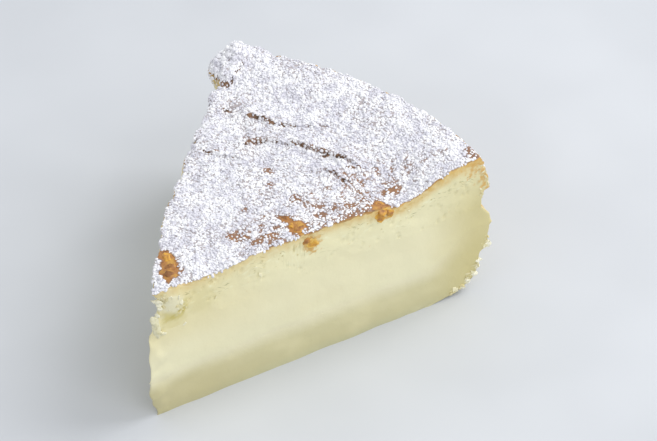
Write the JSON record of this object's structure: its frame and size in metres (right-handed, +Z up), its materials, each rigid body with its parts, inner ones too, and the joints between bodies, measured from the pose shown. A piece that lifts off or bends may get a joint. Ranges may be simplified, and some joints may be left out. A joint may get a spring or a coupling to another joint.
{
  "type": "magic cake slice",
  "caption": "Wedge of baked custard cake cut to the centre: firm base, smooth custard and speckled sponge with a wrinkled browned crust under icing sugar.",
  "frame": {"origin": "under the middle of the slice's bounds, on the surface it stands on", "axes": "+X along the slice from its point to its baked rim, +Y towards the cut that faces away from the usual viewer, +Z up"},
  "size_m": [0.1044, 0.0854, 0.0509],
  "materials": {
    "base": "firm set custard base, slightly moist, darker yellow than the custard, with a golden baked skin on the rim",
    "custard": "smooth moist custard, pale cream yellow",
    "sponge": "fine pale yellow sponge with small pores, a thin browned crust on top and a heavy dusting of white icing sugar"
  },
  "bodies": {
    "root": {"base_layer": "base", "custard_layer": "custard", "sponge_layer": "sponge"}
  },
  "joints": []
}
